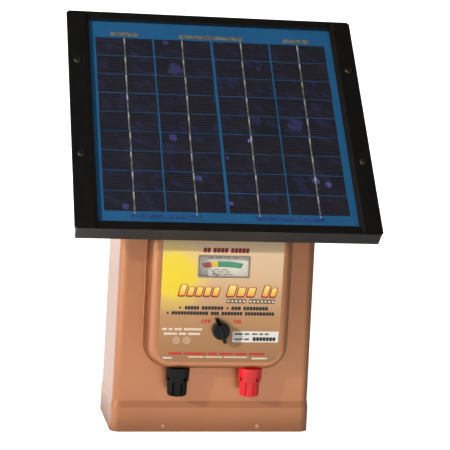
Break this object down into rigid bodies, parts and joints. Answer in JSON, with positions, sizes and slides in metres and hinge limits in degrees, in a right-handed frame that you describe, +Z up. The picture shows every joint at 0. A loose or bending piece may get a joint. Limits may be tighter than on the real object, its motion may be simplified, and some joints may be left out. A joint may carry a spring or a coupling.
{
  "type": "fence energizer",
  "caption": "Solar fence energizer: drafted case with a front control module, meter, rotary switch and two screw terminals under a framed 45-degree solar panel.",
  "frame": {"origin": "centre of the base pan's underside, on the ground", "axes": "+Z up, -Y is the front with the control module, +X is to the right of a person facing the front"},
  "size_m": [0.324, 0.2213, 0.4436],
  "materials": {
    "tan_moulding": "satin copper-tan moulded plastic with a faint grain",
    "base_plastic": "matt black moulded plastic",
    "seal_rubber": "closed-cell rubber",
    "zinc_steel": "bright zinc plating",
    "brass": "machined",
    "label_film": "printed polyester film, semi-gloss",
    "white_label": "blank white label",
    "meter_grey": "satin grey plastic",
    "clear_window": "clear polycarbonate",
    "meter_black": "matt black plastic",
    "dial_print": "cream printed plate with red, yellow and green zones",
    "magnet_steel": "sintered magnet",
    "needle_black": "matt black",
    "coil_copper": "enamelled copper winding",
    "knob_black": "gloss black phenolic",
    "terminal_black": "satin black nylon",
    "terminal_red": "satin red nylon",
    "board_green": "green solder mask",
    "core_laminations": "varnished electrical steel",
    "capacitor_sleeve": "blue sleeve",
    "battery_plastic": "grey-black battery case",
    "lead_insulation": "wire insulation",
    "black_frame": "satin black powder coat on aluminium",
    "panel_glass": "tempered low-iron glass",
    "silicon": "dark polycrystalline silicon with fine silver fingers",
    "tinned_ribbon": "tinned copper ribbon",
    "blue_backsheet": "blue film",
    "tan_screw": "screw painted to match the case",
    "cable_black": "black cable sheath",
    "black_screw": "black oxide steel"
  },
  "bodies": {
    "case": {"case_shell": "tan_moulding", "base_pan": "base_plastic", "base_gasket": "seal_rubber", "base_screws": "tan_screw", "threaded_inserts": "brass", "module_housing": "tan_moulding", "module_gasket": "seal_rubber", "module_screws": "zinc_steel", "face_label": "label_film", "rating_sticker": "white_label", "meter_bezel": "meter_grey", "meter_window": "clear_window", "meter_case": "meter_black", "meter_dial": "dial_print", "meter_magnet": "magnet_steel", "switch_body": "meter_black", "switch_nut": "zinc_steel", "black_terminal_collar": "terminal_black", "red_terminal_collar": "terminal_red", "terminal_studs": "brass", "terminal_nuts": "brass", "terminal_lugs": "tinned_ribbon", "circuit_board": "board_green", "board_screws": "zinc_steel", "transformer_core": "core_laminations", "transformer_coil": "coil_copper", "storage_capacitors": "capacitor_sleeve", "thyristor": "meter_black", "battery_case": "battery_plastic", "battery_tabs": "tinned_ribbon", "battery_strap": "zinc_steel", "strap_screws": "zinc_steel", "output_leads": "lead_insulation", "battery_leads": "lead_insulation", "panel_rail_left": "black_frame", "panel_rail_right": "black_frame", "panel_end_rails": "black_frame", "solar_glass": "panel_glass", "solar_cells": "silicon", "cell_ribbons": "tinned_ribbon", "backsheet": "blue_backsheet", "panel_seal": "seal_rubber", "junction_box": "meter_black", "junction_lid": "meter_black", "solar_cable": "cable_black", "cable_gland": "meter_black", "panel_bracket_left": "black_frame", "panel_bracket_right": "black_frame", "bracket_bolts": "zinc_steel", "panel_screws": "black_screw", "panel_nuts": "zinc_steel"},
    "knob": {"switch_knob": "knob_black", "switch_shaft": "zinc_steel", "knob_set_screw": "zinc_steel"},
    "needle": {"meter_needle": "needle_black", "meter_coil": "coil_copper"},
    "black_washer": {"black_clamp_washer": "zinc_steel"},
    "black_cap": {"black_terminal_cap": "terminal_black"},
    "red_washer": {"red_clamp_washer": "zinc_steel"},
    "red_cap": {"red_terminal_cap": "terminal_red"}
  },
  "joints": [
    {"name": "switch_turn", "type": "hinge", "parent": "case", "child": "knob", "pos_m": [0, -0.08, 0.122], "axis": [0, 1, 0], "range_deg": [0, 60]},
    {"name": "meter_swing", "type": "hinge", "parent": "case", "child": "needle", "pos_m": [0.001, -0.069, 0.173], "axis": [0, 1, 0], "range_deg": [0, 90]},
    {"name": "black_cap_travel", "type": "slide", "parent": "case", "child": "black_washer", "axis": [0, 0, -1], "range_m": [0, 0.006]},
    {"name": "black_cap_turn", "type": "hinge", "parent": "black_washer", "child": "black_cap", "pos_m": [-0.0412, -0.0635, 0.054], "axis": [0, 0, -1], "range_deg": [0, 1700]},
    {"name": "red_cap_travel", "type": "slide", "parent": "case", "child": "red_washer", "axis": [0, 0, -1], "range_m": [0, 0.006]},
    {"name": "red_cap_turn", "type": "hinge", "parent": "red_washer", "child": "red_cap", "pos_m": [0.0378, -0.0635, 0.054], "axis": [0, 0, -1], "range_deg": [0, 1700]}
  ],
  "couplings": [
    {"joint": "black_cap_travel", "follows": "black_cap_turn", "m_per_rad": 0.00020213},
    {"joint": "red_cap_travel", "follows": "red_cap_turn", "m_per_rad": 0.00020213}
  ]
}
